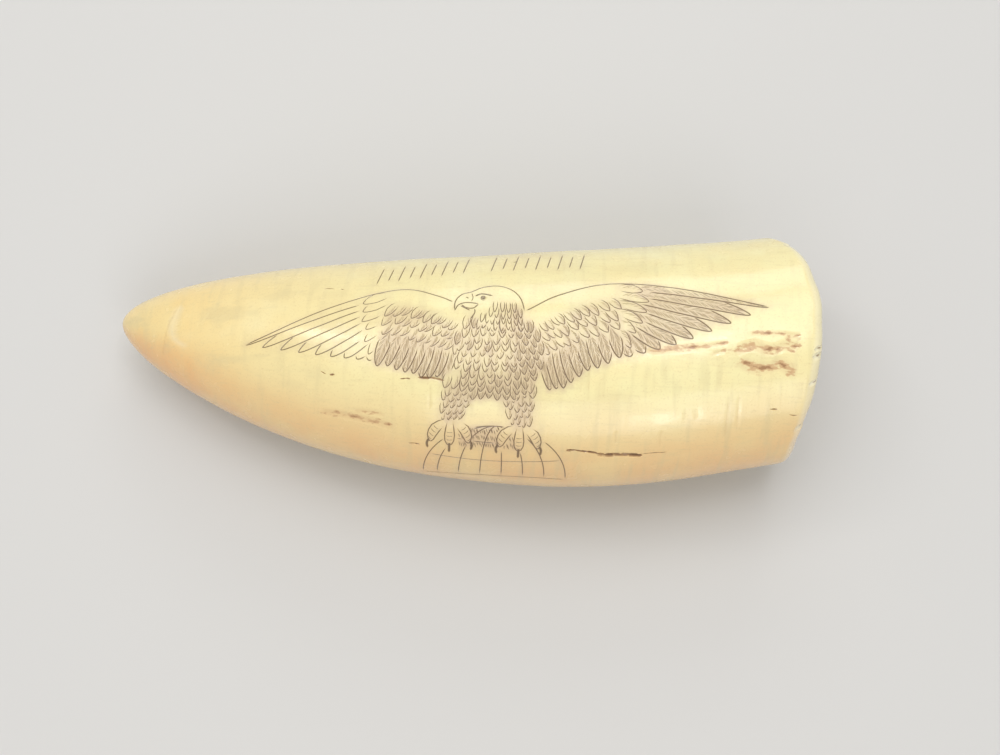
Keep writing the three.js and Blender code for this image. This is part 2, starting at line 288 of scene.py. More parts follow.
# Every feather is a narrow leaf, cut in outline and hatched with inked barbs that slant from its shaft to
# its tip. The first are the pointed locks that fall down the neck, darker on the side away from the beak.
# A spot on a feather is how far along it lies, 0 to 1, and how far over from its shaft, -1 to 1.
FEATHER_NECK = 0.5
FEATHER_ROUND = 0.7
FEATHER_STEP = 0.9
FEWEST_STEPS = 5
BARB = 0.16
BARB_INK = 0.4
BARB_SPAN = 0.12, 0.9
BARB_STRAY = 0.03
BARB_SLANT = 1.9
BARB_SHARES = 0.7, 1
BARB_LIMIT = 0.97
BARB_OVER = 0.65, 0.92
BARB_SPREAD = 0.8, 1.2


def hump(share):
    return 4 * share * (1 - share)


class Feather:
    def __init__(self, root, tip, half, bow=0.0, blunt=3.0):
        self.root = root
        self.run = tip - root
        self.length = self.run.length
        self.side = self.run.orthogonal() / self.length
        self.half = half
        self.bow = bow
        self.blunt = blunt

    def spot(self, along, over):
        opening = mix(FEATHER_NECK, 1, min(1, 2 * along))
        breadth = self.half * opening * (1 - along**self.blunt) ** FEATHER_ROUND
        aside = over * breadth + self.bow * self.length * hump(along)
        return self.root + self.run * along + self.side * aside

    def cut(self, width=OUTLINE, barb_pitch=0, sides=(-1, 1)):
        steps = max(FEWEST_STEPS, round(self.length / FEATHER_STEP))
        alongs = [math.sin(math.pi / 2 * share) for share in shares(steps)]
        outline = [self.spot(along, -1) for along in alongs]
        outline += [self.spot(along, 1) for along in reversed(alongs[:-1])]
        engrave(outline, width)
        if barb_pitch:
            self.cut_barbs(barb_pitch, sides)
        cover(outline)

    def cut_barbs(self, pitch, sides):
        along, end = BARB_SPAN
        while along < end:
            for side in sides:
                start = along + hand.uniform(0, BARB_STRAY)
                reach = BARB_SLANT * self.half / self.length * hand.uniform(*BARB_SHARES)
                reach = min(reach, BARB_LIMIT - start)
                over = side * hand.uniform(*BARB_OVER)
                barb = [self.spot(start + reach * share, over * share) for share in shares(4)]
                engrave(barb, BARB, strength=BARB_INK)
            along += pitch / self.length * hand.uniform(*BARB_SPREAD)


STRAY = 0.15
LOCK_ROWS = 4
LOCK_TOPS = 7.4, 3.9
LOCK_LEFTS = -1.8, -5.2
LOCK_RIGHTS = 2.9, 4.4
LOCK_PITCH = 1.05
LOCK_LENGTH = 2.3
LOCK_LENGTHS = 0.85, 1.1
LOCK_HALF = 0.55
LOCK_POINT = 1.6
LOCK_LEAN = 0.12
LOCK_BARBS = 0.5
NECK_MIDDLE = -0.8
NECK_SHADE = 1
for row in range(LOCK_ROWS):
    down = row / (LOCK_ROWS - 1)
    left, right = mix(*LOCK_LEFTS, down), mix(*LOCK_RIGHTS, down)
    count = round((right - left) / LOCK_PITCH)
    for i in range(count):
        x = mix(left, right, (i + 0.5 * (row % 2)) / count) + hand.uniform(-STRAY, STRAY)
        root = Vector((x, mix(*LOCK_TOPS, down)))
        lean = LOCK_LEAN * (root.x - NECK_MIDDLE)
        tip = root + Vector((lean, -LOCK_LENGTH * hand.uniform(*LOCK_LENGTHS)))
        barbs = LOCK_BARBS if root.x > NECK_SHADE else 0
        Feather(root, tip, LOCK_HALF, blunt=LOCK_POINT).cut(FINE, barbs, sides=(1,))
cover(vectors(HEAD_TOP + NECK_FRONT))
cover(vectors(BEAK_TOP + BEAK_EDGE[1:]))
cover(vectors(BEAK_EDGE[1:] + JAW[::-1]))

# The breast is covered with rows of pointed feathers, cut like the locks and set off by half a feather
# from row to row. They are hatched darker on the side away from the beak and under the belly.
BREAST_MIDDLE = NECK_MIDDLE
BREAST_HALF = 7.6
BREAST_TOP = 5
BREAST_BOTTOM = -11.4
NECK_SWELL = 0.25
TAIL_SWELL = 0.9
BREAST_ROWS = 11
BREAST_SPAN = 0.08, 0.88
BREAST_PITCH = 1.75
BREAST_LIFT = 0.5
LIFT_STRAY = 0.2
BREAST_LEAN = 0.1
PLUME_LENGTH = 2.7
PLUME_LENGTHS = 0.9, 1.1
PLUME_HALF = 0.9
PLUME_POINT = 2
BREAST_SHADE = 2.2
BELLY_SHADE = 0.75
ODD_DARK = 0.1
DARK_BARBS = 0.36
LIGHT_BARBS = 0.8


def flank(side, share):
    half = BREAST_HALF * math.sin(math.pi * mix(NECK_SWELL, TAIL_SWELL, share))
    return Vector((BREAST_MIDDLE + side * half, mix(BREAST_TOP, BREAST_BOTTOM, share)))


for row in range(BREAST_ROWS):
    share = mix(*BREAST_SPAN, row / (BREAST_ROWS - 1))
    left, right = flank(-1, share), flank(1, share)
    count = round((right.x - left.x) / BREAST_PITCH)
    for i in range(count + 1):
        root = left.lerp(right, (i + 0.5 * (row % 2)) / (count + 0.5))
        stray = hand.uniform(-STRAY, STRAY)
        root += Vector((stray, BREAST_LIFT + hand.uniform(-LIFT_STRAY, LIFT_STRAY)))
        lean = BREAST_LEAN * (root.x - BREAST_MIDDLE)
        tip = root + Vector((lean, -PLUME_LENGTH * hand.uniform(*PLUME_LENGTHS)))
        plume = Feather(root, tip, PLUME_HALF, blunt=PLUME_POINT)
        if root.x > BREAST_SHADE or share > BELLY_SHADE or hand.random() < ODD_DARK:
            plume.cut(FINE, DARK_BARBS)
        else:
            plume.cut(FINE, LIGHT_BARBS, sides=(1,))
cover([flank(-1, share) for share in shares(12)] + [flank(1, share) for share in reversed(shares(12))])

# Each leg is a thick feathered thigh over a short bare shank with rings across it, and three toes with
# heavy claws grip the dome. The toes are cut like blunt feathers, with creases in place of barbs.
LEGS = (((-7, -7.5), (-9.2, -16.2)), ((3.2, -7.5), (4, -16.6)))
THIGH_SHARE = 0.74
THIGH_HALF = 3.3
KNEE_HALF = 2.1
ANKLE_HALF = 1.2
ANKLE_DROP = 0.2
THIGH_ROWS = 6
THIGH_ROW_REACH = 0.9
THIGH_FEATHERS = 4
THIGH_SPREAD = 0.85
THIGH_OFFSET = 0.4
THIGH_LIFT = 0.6
THIGH_PLUME = 3
THIGH_PLUMES = 0.9, 1.15
THIGH_PLUME_HALVES = 1.05, 0.8
THIGH_BARBS = 0.6
TOE_REACH = 3.8
TOE_DROP = 3.8
MIDDLE_TOE_DROP = 4.5
TOE_HALF = 0.95
TOE_ROOT = Vector((0.4, 0.3))
TOE_BOW = 0.15
TOE_BLUNT = 9
CLAW = ((0.05, 0.5), (0.5, -0.4), (0.3, -1.5))
CLAW_WIDTH = 0.65
CREASES = 0.45, 0.6, 0.75, 0.88
CREASE_HALF = 0.8
CREASE_BOW = 0.04
SHANK_RINGS = 0.4, 0.58, 0.76, 0.94
SHANK_RING = ((-0.8, 0), (0, -0.25), (0.8, 0))
for hip, ankle in LEGS:
    hip, ankle = Vector(hip), Vector(ankle)
    knee = hip.lerp(ankle, THIGH_SHARE)
    for row in range(THIGH_ROWS):
        share = row / (THIGH_ROWS - 1)
        half = mix(THIGH_HALF, KNEE_HALF, share)
        for i in range(THIGH_FEATHERS):
            across = (i + THIGH_OFFSET * (row % 2)) / (THIGH_FEATHERS - 1 + THIGH_OFFSET)
            over = half * mix(-THIGH_SPREAD, THIGH_SPREAD, across)
            lift = THIGH_LIFT + hand.uniform(-LIFT_STRAY, LIFT_STRAY)
            root = hip.lerp(knee, THIGH_ROW_REACH * share) + Vector((over, lift))
            tip = root + (knee - hip).normalized() * THIGH_PLUME * hand.uniform(*THIGH_PLUMES)
            plume = Feather(root, tip, mix(*THIGH_PLUME_HALVES, share), blunt=PLUME_POINT)
            plume.cut(FINE, THIGH_BARBS, sides=(1,))
    for toe in (0, -1, 1):
        end = ankle + Vector((toe * TOE_REACH, -TOE_DROP if toe else -MIDDLE_TOE_DROP))
        start = ankle + Vector((TOE_ROOT.x * toe, TOE_ROOT.y))
        finger = Feather(start, end, TOE_HALF, bow=TOE_BOW * toe, blunt=TOE_BLUNT)
        curve([end + Vector((x * toe, y)) for x, y in CLAW], CLAW_WIDTH, steps=6)
        for along in CREASES:
            crease = []
            for share in shares(4):
                over = mix(-CREASE_HALF, CREASE_HALF, share)
                crease.append(finger.spot(along + CREASE_BOW * hump(share), over))
            engrave(crease, BARB)
        finger.cut()
    shank = [
        knee + Vector((-KNEE_HALF, 0)),
        ankle + Vector((-ANKLE_HALF, -ANKLE_DROP)),
        ankle + Vector((ANKLE_HALF, -ANKLE_DROP)),
        knee + Vector((KNEE_HALF, 0)),
    ]
    for one, other in (shank[:2], shank[2:]):
        engrave([one.lerp(other, share) for share in shares(20)], OUTLINE)
    for down in SHANK_RINGS:
        curve([knee.lerp(ankle, down) + Vector(point) for point in SHANK_RING], BARB, steps=8)
    cover(shank)

# Each wing has a bare band behind its front edge, rows of coverts that lie over each other, short quills
# along the arm, and long quills that fan out from the wrist. Those nearer the front edge and the wing's tip
# are cut first, so that they lie over the rest.
WINGS = (
    dict(
        front=[(-6.6, 5.2), (-13, 7.7), (-21, 8.5), (-34, 4.2), (-50, -3.7)],
        rear=[(-8.4, -9), (-15, -7.6), (-23, -5.6), (-34, -4.9), (-50, -3.7)],
        bow=-0.04, arm_pitch=0.5, hand_pitch=0, covert_pitch=0.6,
    ),
    dict(
        front=[(4.6, 6), (10.5, 9.2), (20, 11.8), (33, 11.6), (50.2, 8.9)],
        rear=[(7, -9.8), (13, -7), (21.5, -2.9), (34, 1.4), (50.2, 8.9)],
        bow=0.04, arm_pitch=0.45, hand_pitch=0.58, covert_pitch=0.5,
    ),
)
WRIST = 0.5
SHOULDER = -0.04
SKY = Vector((0, 9))
# each row's depth in the wing at its roots and at its tips, its count, and its feathers' half breadth
COVERT_ROWS = ((0.2, 0.36, 10, 0.85), (0.3, 0.48, 9, 1.0), (0.4, 0.62, 9, 1.15))
COVERT_START = 0.05
COVERT_PLACES = 0.3, 0.7
COVERT_STRAY = 0.02
COVERT_SWEEP = 0.05
COVERT_POINT = 2.4
ARM_QUILLS = 9
ARM_START = 0.03
ARM_DEPTH = 0.5
ARM_ENDS = 0.97, 1.06
ARM_SWEEP = 0.04
ARM_HALF = 1.25
ARM_BLUNT = 4
WRIST_REAR = 0.55, WRIST
WRIST_FRONT = 0.06, WRIST + 0.03
WRIST_COVERTS = 6
WRIST_FAN = 0.08
WRIST_COVERT = 5.5
WRIST_LENGTHS = 0.85, 1.1
WRIST_HALF = 0.95
WRIST_BARBS = 1.4
HAND_QUILLS = 9
HAND_FAN = 0.06
HAND_HALVES = 1.6, 1.15
HAND_BLUNT = 5


def laid(wing, depth, share):
    # depth is 0 at the front edge and 1 at the rear one
    front, rear = vectors(wing["front"]), vectors(wing["rear"])
    return on_curve(front, share).lerp(on_curve(rear, share), depth)


for wing in WINGS:
    bow = wing["bow"]
    edge = [laid(wing, 0, mix(SHOULDER, 1, share)) for share in shares(60)]
    engrave(edge, OUTLINE)
    cover(edge + [point + SKY for point in reversed(edge)])
    for start, end, count, half in COVERT_ROWS:
        for i in reversed(range(count)):
            share = mix(COVERT_START, WRIST, (i + hand.uniform(*COVERT_PLACES)) / count)
            root = laid(wing, start, share)
            tip = laid(wing, end + hand.uniform(-COVERT_STRAY, COVERT_STRAY), share + COVERT_SWEEP)
            Feather(root, tip, half, bow, COVERT_POINT).cut(FINE, wing["covert_pitch"], sides=(1,))
    for i in reversed(range(ARM_QUILLS)):
        share = mix(ARM_START, WRIST, (i + 0.5) / ARM_QUILLS)
        root = laid(wing, ARM_DEPTH, share)
        tip = laid(wing, hand.uniform(*ARM_ENDS), share + ARM_SWEEP)
        Feather(root, tip, ARM_HALF, bow, ARM_BLUNT).cut(OUTLINE, wing["arm_pitch"])
    wrist_rear, wrist_front = laid(wing, *WRIST_REAR), laid(wing, *WRIST_FRONT)
    for i in reversed(range(WRIST_COVERTS)):
        share = i / (WRIST_COVERTS - 1)
        root = wrist_rear.lerp(wrist_front, share)
        away = laid(wing, 1, mix(WRIST + WRIST_FAN, 1, share)) - root
        tip = root + away.normalized() * WRIST_COVERT * hand.uniform(*WRIST_LENGTHS)
        Feather(root, tip, WRIST_HALF, bow).cut(FINE, WRIST_BARBS * wing["hand_pitch"], sides=(1,))
    for i in reversed(range(HAND_QUILLS)):
        share = i / (HAND_QUILLS - 1)
        root = wrist_rear.lerp(wrist_front, share)
        tip = laid(wing, 1, mix(WRIST + HAND_FAN, 1, share))
        Feather(root, tip, mix(*HAND_HALVES, share), bow, HAND_BLUNT).cut(OUTLINE, wing["hand_pitch"])

# The dome that the eagle stands on is ruled with curved cuts, as ribs from its top to its base and as
# belts across it, and hatched in short strokes between the feet.
DOME = Vector((-0.4, -26.3))
DOME_HALF = 13.8
DOME_HEIGHT = 9.8
DOME_RIBS = -0.8, -0.5, -0.2, 0.1, 0.4, 0.7
RIB_TURN = 0.48 * math.pi
DOME_BELTS = 0.4, 0.85
BELT_SAG = 0.8
HATCH_ROWS = 3
HATCH_STROKES = 34
HATCH_ENDS = -7.5, 4
HATCH_TOP = -16.9
HATCH_PITCH = 1.3
HATCH_STRAY = 0.12
HATCH_DROPS = -0.3, 0.1
HATCH_REACH = Vector((0.45, -1.3))
HATCH_LENGTHS = 0.7, 1.1


def on_dome(spread, turn):
    return DOME + Vector((spread * DOME_HALF * math.cos(turn), DOME_HEIGHT * math.sin(turn)))


engrave([on_dome(1, math.pi * share) for share in shares(48)], OUTLINE)
engrave([on_dome(mix(-1, 1, share), 0) for share in shares(30)], OUTLINE)
for spread in DOME_RIBS:
    engrave([on_dome(spread, RIB_TURN * share) for share in shares(16)], OUTLINE)
for turn in DOME_BELTS:
    belt = [on_dome(mix(-1, 1, share), turn) - Vector((0, BELT_SAG * hump(share))) for share in shares(24)]
    engrave(belt, FINE)
for row in range(HATCH_ROWS):
    for i in range(HATCH_STROKES):
        x = mix(*HATCH_ENDS, i / (HATCH_STROKES - 1)) + hand.uniform(-HATCH_STRAY, HATCH_STRAY)
        spot = Vector((x, HATCH_TOP - HATCH_PITCH * row + hand.uniform(*HATCH_DROPS)))
        reach = HATCH_REACH * hand.uniform(*HATCH_LENGTHS)
        engrave([spot + reach * share for share in shares(3)], BARB)

# Age has marked the ivory with cracks along the grain, faint rings, and rough brown stains by the root and
# under the wing towards the tip. The rim is nicked, with fresh ivory in the nicks and a darker line along
# each, and the tip is worn in a shallow crescent, paler partly from wear and partly from painted light on
# its lit side, with a line of painted shade along its shaded edge. Where nothing else is said, their places
# are in the picture's millimetres.

# each stain's width, strength and line
STAINS = (
    (1.9, 1.15, [(27.3, -0.7), (29.7, -0.4), (33.5, 0.1), (36.8, 0.6)]),
    (1.1, 0.9, [(35.8, 0.5), (38.5, 0.9), (40.1, 1.2), (42.7, 1.8)]),
    (1.1, 1, [(46.6, 3.7), (48, 3.9), (52.3, 4), (56.4, 3.8)]),
    (1.1, 0.8, [(53, 3.1), (55.2, 3.5), (56.3, 2.9)]),
    (2.4, 0.95, [(43.8, 0.2), (47.1, 1.4), (49.6, 0.8), (51.7, 1), (53.1, 1.7), (55.8, 1.6)]),
    (2.9, 1, [(45.2, -1.8), (47.3, -2.8), (49.9, -2.6), (51, -2.3), (52.5, -1.8), (55.2, -3.1)]),
    (1.1, 0.7, [(39.4, -0.6), (40.6, -0.3), (42.2, 0.2)]),
    (2.3, 0.85, [(-34, -15.7), (-30.4, -15.9), (-27.2, -16.4), (-23.2, -17), (-20.4, -17.7)]),
    (1.7, 0.65, [(-27.6, -15.1), (-25, -15.1), (-22, -15.5)]),
)
STAIN_SLOPE = 0.04
# each crack's width and line, which for the far flank is given on the flat sheet
CRACKS = (
    (1.15, [(13, -20.3), (15, -20.4), (18.3, -20.7), (20.4, -20.9), (23, -20.8), (27.8, -20.7)]),
    (0.2, [(24, -20.9), (29.5, -20), (32.5, -19.7)]),
    (0.45, [(-17.2, -20.8), (-15.9, -20.7), (-14.6, -20.8)]),
    (0.6, [(-15.8, -8.1), (-13.4, -8), (-10.6, -8.4)]),
    (0.35, [(-19.2, -8.5), (-18, -8.4), (-17, -8.5)]),
    (0.5, [(51, -10.4), (51.9, -10.4), (52.8, -10.5)]),
    (0.3, [(54.9, -11.3), (55.8, -11.4), (57, -11.3)]),
    (0.3, [(-34.6, -7.9), (-33.9, -8.2), (-33.3, -8.4)]),
    (0.65, [(-32.8, -8.4), (-32.2, -8.4), (-31.6, -8.5)]),
    (0.25, [(-35.6, 8.1), (-34.5, 8.2), (-33.2, 8.2)]),
    (0.35, [(-32.2, 8.2), (-31.8, 8.2), (-31.3, 8.1)]),
)
FAR_CRACKS = (
    (0.5, [(92, -24.5), (99, -24.9), (106, -24.6), (113, -25.2)]),
    (0.3, [(114.5, -25.4), (118, -25.3), (121, -25.6)]),
    (0.45, [(46, -23.2), (51, -23.6), (55, -23.4)]),
    (0.35, [(66, -29.6), (69, -29.8), (73, -29.5)]),
    (0.3, [(36, -27), (38.5, -27.2), (41, -27)]),
)
CRACK_PITCH = 1.1
CRACK_OVERLAP = 0.6
CRACK_WANDER = 0.15
CRACK_BREADTHS = 0.35, 1.1
CRACK_STRENGTHS = 0.5, 1
CRACK_SLOPE = 0.4
# how far along each ring lies, and its upper and lower end
RINGS = (
    (16.5, -4.5, -11), (22.2, -16, -18.7), (30.8, -15.5, -18.6), (35, -11, -13.6), (36.8, -10.9, -13.3),
    (43, -7.6, -16.6), (45, -7.8, -15), (-13.2, -9, -14),
)
RING_LEANS = -0.1, 0.4
RING_WIDTH = 1.1
RING_STRENGTH = 0.12
RING_SLOPE = 0.04
# the worn crescent at the tip, painted paler partly as painted light on its lit side
CRESCENT = [(-64.7, 4.2), (-66, -0.8), (-65.2, -3.2), (-63, -4.4)]
CRESCENT_WIDTH = 3
CRESCENT_STRENGTH = 0.26
CRESCENT_SLOPE = 0.02
# a line of painted shade along the crescent's shaded edge
CRESCENT_SHADE = [(-65.2, 3.8), (-66.9, -0.3), (-67.6, -3.7), (-68, -6.8)]
CRESCENT_SHADE_WIDTH = 1
CRESCENT_SHADE_STRENGTH = 0.12
CRESCENT_SHADE_SLOPE = 0.06
# each nick's angle round the rim in degrees, its width and its depth
NICKS = ((104.3, 1, 0.5), (107.8, 1.4, 0.6), (146, 1.6, 0.5), (121, 1.1, 0.25), (38, 1.8, 0.4))
NICK_RUN = 0.6, 3.4
NICK_WANDER = 0.1
NICK_STRENGTH = 0.8
NICK_DARK_SHARE = 0.4
NICK_DARKENING = 0.5
covers.clear()
for width, strength, points in STAINS:
    curve(points, width, steps=5 * len(points), mark="stain", strength=strength, slope=STAIN_SLOPE)
for lay, cracks in ((flat_place, CRACKS), (Vector, FAR_CRACKS)):
    for width, points in cracks:
        points = vectors(points)
        pieces = math.ceil((points[-1] - points[0]).length / CRACK_PITCH)
        for i in range(pieces):
            start = max(0, (i - CRACK_OVERLAP) / pieces)
            end = min(1, (i + 1 + CRACK_OVERLAP) / pieces)
            shift = Vector((0, CRACK_WANDER * width * hand.uniform(-1, 1)))
            keel = [lay(on_curve(points, mix(start, end, share)) + shift) for share in shares(6)]
            breadth = width * hand.uniform(*CRACK_BREADTHS)
            sink_cut(keel, breadth, "crack", hand.uniform(*CRACK_STRENGTHS), CRACK_SLOPE)
for x, top, bottom in RINGS:
    upper_end, lower_end = Vector((x, top)), Vector((x + hand.uniform(*RING_LEANS), bottom))
    ring = [upper_end.lerp(lower_end, share) for share in shares(8)]
    engrave(ring, RING_WIDTH, mark="crack", strength=RING_STRENGTH, slope=RING_SLOPE)
# The worn crescent is painted paler: partly worn ivory, partly painted light on its lit side.
curve(
    CRESCENT, CRESCENT_WIDTH, steps=14,
    mark="fresh", strength=CRESCENT_STRENGTH, slope=CRESCENT_SLOPE,
)
# A line of painted shade runs along the crescent's shaded edge.
curve(
    CRESCENT_SHADE, CRESCENT_SHADE_WIDTH, steps=12,
    mark="crack", strength=CRESCENT_SHADE_STRENGTH, slope=CRESCENT_SHADE_SLOPE,
)
for angle, width, depth in NICKS:
    y = (math.radians(angle) - CROWN) * GIRTH
    keel = []
    for share in shares(6):
        x = BODY_LENGTH + mix(*NICK_RUN, share)
        keel.append(Vector((x, y + hand.uniform(-NICK_WANDER, NICK_WANDER))))
    sink_cut(keel, width, "fresh", NICK_STRENGTH, depth / width)
    # A darker line runs along most of each nick.
    sink_cut(keel[2:], NICK_DARK_SHARE * width, "crack", NICK_DARKENING, depth / width)

# The graver's cuts and the marks of age go into a window of the sheet, over all of the ivory that shows
# from above. Each is a groove with two lips and a keel, and the sheet is laid out again between them.
WINDOW_START = 0.04 * BODY_LENGTH
WINDOW_END = BODY_LENGTH + 0.96 * RIM_ARC
WINDOW_ANGLE = math.radians(97)
MERGE = 0.01
JOIN = 0.0005


def in_window(co):
    return WINDOW_START < co.x < WINDOW_END and abs(co.y) < WINDOW_ANGLE * GIRTH


window = [face for face in skin.faces if in_window(face.calc_center_median())]
points = [vert.co.xy for vert in {vert: None for face in window for vert in face.verts}]
rails = []
for keel, halves, mark, strength, depth in strokes:
    last = len(keel) - 1
    lanes = []
    for i, spot in enumerate(keel):
        run = keel[min(i + 1, last)] - keel[max(i - 1, 0)]
        side = Vector((-run.y, run.x)).normalized() * halves[i]
        first = len(points)
        points += [spot, spot + side, spot - side] if 0 < i < last else [spot]
        lanes.append((first, first + 1, first + 2) if 0 < i < last else (first,) * 3)
    for before, after in zip(lanes, lanes[1:]):
        rails += zip(before, after)

bmesh.ops.delete(skin, geom=window, context="FACES")
spots, edges, faces, _, sources, _ = delaunay_2d_cdt(points, rails, [], 0, MERGE)
places = np.array(spots)
values = {mark: np.zeros(len(places)) for mark in ("ink", "stain", "crack", "fresh", "sink")}
for keel, halves, mark, strength, depth in strokes:
    line = np.array(keel)
    margin = max(halves)
    low, high = line.min(axis=0) - margin, line.max(axis=0) + margin
    close = np.flatnonzero(((places > low) & (places < high)).all(axis=1))
    for a, b, half_a, half_b in zip(line, line[1:], halves, halves[1:]):
        run = b - a
        share = np.clip((places[close] - a) @ run / (run @ run), 0, 1)
        away = np.linalg.norm(places[close] - a - share[:, None] * run, axis=1)
        depth_share = np.clip((half_a + (half_b - half_a) * share - away) / margin, 0, 1)
        values[mark][close] = np.maximum(values[mark][close], strength * depth_share)
        values["sink"][close] = np.maximum(values["sink"][close], depth * depth_share)

# Ink that was rubbed over the cuts leaves a faint film on the ivory where they lie close together. Their
# length in each small cell of the sheet is counted, and smoothed over its neighbours.
FILM_CELL = 0.3
FILM_SPREAD = 1.5
FILM_NEIGHBOURS = 5
FILM_FULL = 1.5
inked = [np.array(keel) for keel, halves, mark, strength, depth in strokes if mark == "ink"]
lengths = np.concatenate([np.hypot(*np.gradient(keel, axis=0).T) for keel in inked])
low = places.min(axis=0)
cells = np.ceil((places.max(axis=0) - low) / FILM_CELL).astype(int) + 1
film = np.zeros(cells)
np.add.at(film, tuple(((np.concatenate(inked) - low) / FILM_CELL).astype(int).T), lengths / FILM_CELL)
bell = np.exp(-np.arange(-FILM_NEIGHBOURS, FILM_NEIGHBOURS + 1) ** 2 / (2 * FILM_SPREAD**2))
bell /= bell.sum()
for axis in (0, 1):
    film = np.apply_along_axis(np.convolve, axis, film, bell, mode="same")
values["film"] = np.clip(film[tuple(((places - low) / FILM_CELL).astype(int).T)] / FILM_FULL, 0, 1)

# The window is filled with the new spots and faces, and is sharp along every lip and keel.
window_verts = [skin.verts.new((*spot, 0)) for spot in spots]
for mark, amounts in values.items():
    for vert, amount in zip(window_verts, amounts):
        vert[marks[mark]] = amount
for corners in faces:
    skin.faces.new([window_verts[corner] for corner in corners])
for (start, end), source in zip(edges, sources):
    if source:
        skin.edges.get((window_verts[start], window_verts[end])).smooth = False
bmesh.ops.remove_doubles(skin, verts=skin.verts, dist=JOIN)

# The sheet is wrapped into the tooth, its seam and ends are joined, the cuts sink in, and the flank that
# it lies on is worn flat. Scraping left the ivory a little uneven, more so at the root. It lies on the
# bottom of the solid's box, in its middle.
mm = 0.001
HOLLOW_END = 3.9999999
UNEVEN = ((16, 0.12), (6, 0.04))
ROOT_UNEVEN = ((7, 0.3), (2.6, 0.14))
ROOT_START = 0.97
ROOT_SPAN = 0.3
BAND_PITCH = 2.4
BAND_SPREAD = 30
BAND_HEIGHT = 0.025
for vert in skin.verts:
    walk = min(np.interp(vert.co.x, REACHES, range(len(REACHES))), HOLLOW_END)
    angle = vert.co.y / GIRTH + CROWN
    vert[marks["walk"]] = walk
    vert[marks["near"]] = -math.cos(angle)
    vert.co = skin_point(walk, angle)
bmesh.ops.remove_doubles(skin, verts=skin.verts, dist=JOIN)
bmesh.ops.recalc_face_normals(skin, faces=skin.faces)
skin.normal_update()
for vert in skin.verts:
    rise = sum(height * noise.noise(vert.co / pitch) for pitch, height in UNEVEN)
    rough = min(max((vert[marks["walk"]] - ROOT_START) / ROOT_SPAN, 0), 1)
    rise += rough * sum(height * noise.noise(vert.co / pitch) for pitch, height in ROOT_UNEVEN)
    band = Vector((vert.co.x / BAND_PITCH, vert.co.y / BAND_SPREAD, vert.co.z / BAND_SPREAD))
    rise += BAND_HEIGHT * noise.noise(band)
    vert.co += vert.normal * (rise - vert[marks["sink"]])
everything = [*skin.verts, *skin.edges, *skin.faces]
cut = bmesh.ops.bisect_plane(
    skin, geom=everything, plane_co=(0, 0, 0), plane_no=(0, 0, -1), clear_outer=True)
brim = [edge for edge in cut["geom_cut"] if isinstance(edge, bmesh.types.BMEdge)]
flat_spot = bmesh.ops.holes_fill(skin, edges=brim)["faces"]
bmesh.ops.scale(skin, vec=(mm, mm, mm), verts=skin.verts)
low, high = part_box("whale_tooth")
own_low = Vector([min(vert.co[axis] for vert in skin.verts) for axis in range(3)])
own_high = Vector([max(vert.co[axis] for vert in skin.verts) for axis in range(3)])
shift = (Vector(low) + Vector(high) - own_low - own_high) / 2
bmesh.ops.translate(skin, vec=(shift.x, shift.y, low[2] - own_low.z), verts=skin.verts)
for face in skin.faces:
    face.smooth = face not in flat_spot
for edge in brim:
    edge.smooth = False

mesh = bpy.data.meshes.new("tooth")
skin.to_mesh(mesh)
skin.free()
tooth = bpy.data.objects.new("tooth", mesh)
bpy.context.collection.objects.link(tooth)
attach(tooth, "root")
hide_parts("whale_tooth")

# The ivory is cream over the crown, amber at the tip and tan on the lower flank, where hands and age have
# darkened it and where shade and warm bounce light are painted in. It is mottled, with pale blotches over
# the crown and the far flank that are partly a painted sheen, with growth bands round it and a faint grain
# along it, and polished, but dull in the hollow. The rounded rim is painted paler, partly as a painted
# highlight along its edge. The marks on the mesh lay the ink, the stains and the fresh breaks over it, with
# the painted light and shade of the worn crescent at the tip.
AMBER = (0.86, 0.635, 0.27)
HONEY = (0.83, 0.68, 0.33)
CREAM = (0.84, 0.755, 0.395)
PEARL_SHEEN = (0.86, 0.80, 0.47)
TAN_AND_PAINTED_SHADE = (0.80, 0.45, 0.19)
OLIVE = (0.60, 0.50, 0.27)
UMBER = (0.60, 0.43, 0.22)
FRESH_AND_HIGHLIGHT = (0.88, 0.84, 0.66)
RUST = (0.57, 0.35, 0.165)
BROWN = (0.32, 0.16, 0.06)
SOOT = (0.15, 0.065, 0.02)
FILM = (0.50, 0.34, 0.25)
INK = (0.14, 0.085, 0.045)
LENGTHWISE = [(0, AMBER), (0.1, AMBER), (0.24, HONEY), (0.44, CREAM), (1, CREAM)]


